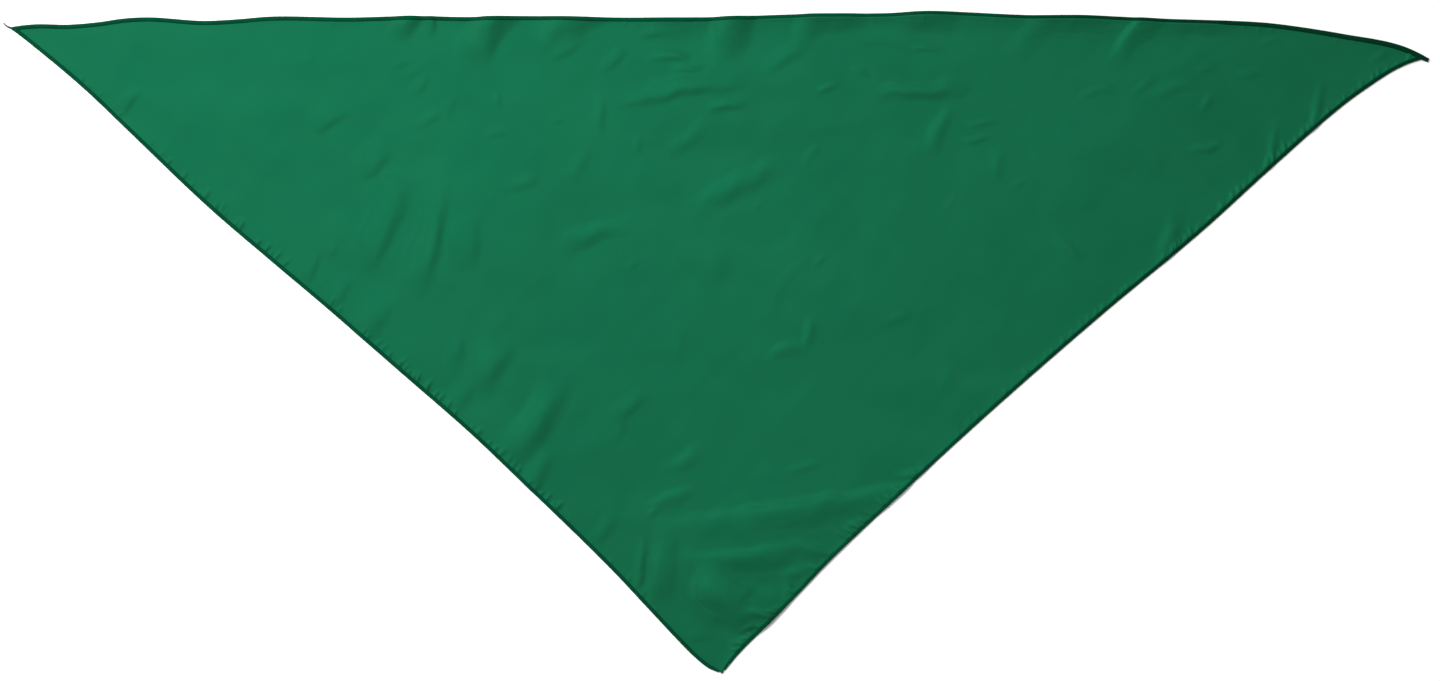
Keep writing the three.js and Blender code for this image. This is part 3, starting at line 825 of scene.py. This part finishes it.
def satin_material():
    """Green satin: fine long threads along the left edge's grain, uneven in tone and gloss."""
    material, tree, shader = principled(
        "satin",
        specular=0.23,
        specular_tint=(0.0, 1.0, 0.55),
        sheen=0.06,
        sheen_tint=(0.05, 1.0, 0.5),
    )
    threads = noise(tree, SATIN_TURN, SATIN_THREADS, detail=3)
    crossing = noise(tree, SATIN_TURN, SATIN_CROSSING, detail=2)
    cloud = noise(tree, SATIN_CLOUD_TURN, SATIN_CLOUD, detail=2)
    weave = combined(tree, "MULTIPLY", combined(tree, "ADD", threads, crossing), 0.5)
    weave_tone = ramp(tree, weave, 0, SATIN_WEAVE_SHARE)
    cloud_tone = ramp(tree, cloud, 0, 1 - SATIN_WEAVE_SHARE)
    tone = combined(tree, "ADD", weave_tone, cloud_tone)
    tree.links.new(colour_between(tree, tone, *SATIN_TONES), shader.inputs["Base Color"])
    tree.links.new(ramp(tree, weave, *SATIN_ROUGHNESS), shader.inputs["Roughness"])
    bump(tree, shader, weave, *SATIN_BUMP)
    return material


def thread_material():
    """Dark green sewing thread, rough and a little uneven in tone, painted darker at the right as
    painted shade and paler at the left as painted light.
    """
    material, tree, shader = principled(
        "hem_thread",
        specular=0.2,
        specular_tint=(0.05, 1.0, 0.5),
        sheen=0.03,
        sheen_tint=(0.05, 1.0, 0.5),
    )
    fibre = noise(tree, 0, THREAD_FIBRE, detail=3)
    patches = noise(tree, 0, THREAD_PATCHES, detail=2)
    fibre_tone = ramp(tree, fibre, *THREAD_FIBRE_TONES)
    patch_tone = ramp(tree, patches, *THREAD_PATCH_TONES)
    tone = combined(tree, "MULTIPLY", fibre_tone, patch_tone)
    # A copy of the thread's colour with painted shade and one with painted light, blended by the
    # place along X: painted paler at the left, darker at the right.
    painted_shade_colour = colour_between(tree, tone, *SHADED_THREAD_TONES)
    painted_light_colour = colour_between(tree, tone, *LIT_THREAD_TONES)
    place = add_node(tree, "ShaderNodeSeparateXYZ")
    tree.links.new(object_place(tree, 0, (1, 1, 1)), place.inputs["Vector"])
    painted_light_share = add_node(tree, "ShaderNodeMapRange", interpolation_type="SMOOTHSTEP")
    painted_light_share.inputs["From Min"].default_value = PAINTED_LIGHT_START
    painted_light_share.inputs["From Max"].default_value = PAINTED_LIGHT_END
    tree.links.new(place.outputs["X"], painted_light_share.inputs["Value"])
    colour = colour_between(tree, painted_light_share.outputs["Result"], painted_shade_colour, painted_light_colour)
    tree.links.new(colour, shader.inputs["Base Color"])
    tree.links.new(ramp(tree, fibre, *THREAD_ROUGHNESS), shader.inputs["Roughness"])
    bump(tree, shader, fibre, *THREAD_BUMP)
    return material


def make_tail():
    """The loose end of thread, a smooth line near its route that thins towards its end."""
    knots = np.array(TAIL_ROUTE, float)
    at = np.linspace(0, len(knots) - 1, TAIL_PLACES)
    index = np.arange(len(knots))
    line = np.column_stack([np.interp(at, index, values) for values in knots.T])
    for _ in range(TAIL_SMOOTHINGS):
        line[1:-1] = (line[:-2] + 2 * line[1:-1] + line[2:]) / 4
    ahead = unit(np.gradient(line, axis=0))
    across = unit(np.cross(ahead, (0, 0, 1)))
    above = np.cross(across, ahead)
    size = np.linspace(TAIL_RADIUS, TAIL_RADIUS * TAIL_END_SHARE, len(line))[:, None]
    return make_mesh("left_thread_tail", *sweep(line, across * size, above * -size, TAIL_SIDES))


def make_floor():
    """A plain pale floor."""
    sides = [(-1, -1), (1, -1), (1, 1), (-1, 1)]
    corners = [(x * FLOOR_HALF_SIZE, y * FLOOR_HALF_SIZE, -FLOOR_DROP) for x, y in sides]
    floor = make_mesh("floor", corners, [(0, 1, 2, 3)])
    white = (1, 1, 1)
    material, _, shader = principled(
        "floor_paper", specular=0.1, specular_tint=white, sheen=0, sheen_tint=white
    )
    shader.inputs["Base Color"].default_value = (FLOOR_TONE, FLOOR_TONE, FLOOR_TONE, 1)
    shader.inputs["Roughness"].default_value = FLOOR_ROUGHNESS
    floor.data.materials.append(material)


def make_lamp(name, place, size, power):
    """A square lamp that shines at the origin and isn't seen itself."""
    data = bpy.data.lights.new(name, "AREA")
    data.shape = "SQUARE"
    data.size = size * MM
    data.energy = power
    lamp = bpy.data.objects.new(name, data)
    bpy.context.scene.collection.objects.link(lamp)
    lamp.visible_camera = False
    lamp.location = Vector(place) * MM
    lamp.rotation_euler = (-Vector(place)).to_track_quat("-Z", "Y").to_euler()


def make_world():
    """A white room all round."""
    world = bpy.data.worlds.new("pale_room")
    world.use_nodes = True
    background = world.node_tree.nodes["Background"]
    background.inputs["Color"].default_value = (1, 1, 1, 1)
    background.inputs["Strength"].default_value = ROOM_BRIGHTNESS
    bpy.context.scene.world = world


def make_camera():
    """The camera, straight above the middle of the view."""
    data = bpy.data.cameras.new("camera")
    data.lens = LENS
    data.sensor_width = SENSOR
    data.sensor_fit = "HORIZONTAL"
    camera = bpy.data.objects.new("camera", data)
    bpy.context.scene.collection.objects.link(camera)
    height = VIEW_WIDTH * LENS / SENSOR
    camera.location = (VIEW_MIDDLE[0] * MM, VIEW_MIDDLE[1] * MM, height * MM)
    bpy.context.scene.camera = camera


make_camera()
bpy.context.scene.view_settings.view_transform = "Standard"
make_world()
for row in LAMPS:
    make_lamp(*row)
make_floor()

satin = satin_material()
thread = thread_material()

sheet = make_sheet()
dress(sheet, "cloth_panel", satin)

long_end = LONG_EDGE.length
long_hem = make_hem("long_hem_thread", LONG_EDGE, LONG_HEM_START, long_end, LONG_HEM_TIPS)
dress(long_hem, "long_hem", thread)

long_middle = LONG_EDGE.hem_width / 2
right_start = RIGHT_EDGE.crossing(RIGHT_EDGE.hem_width / 2, LONG_EDGE, long_middle, -1)
right_end = RIGHT_EDGE.length - HEM_END_GAP
right_hem = make_hem("right_hem_thread", RIGHT_EDGE, right_start, right_end, RIGHT_HEM_TIPS)
dress(right_hem, "right_hem", thread)

left_end = LEFT_EDGE.crossing(LEFT_EDGE.hem_width / 2, LONG_EDGE, long_middle, 1)
left_hem = make_hem("left_hem_thread", LEFT_EDGE, HEM_END_GAP, left_end, LEFT_HEM_TIPS)
dress(left_hem, "left_hem", thread)

tail = make_tail()
dress(tail, None, thread)
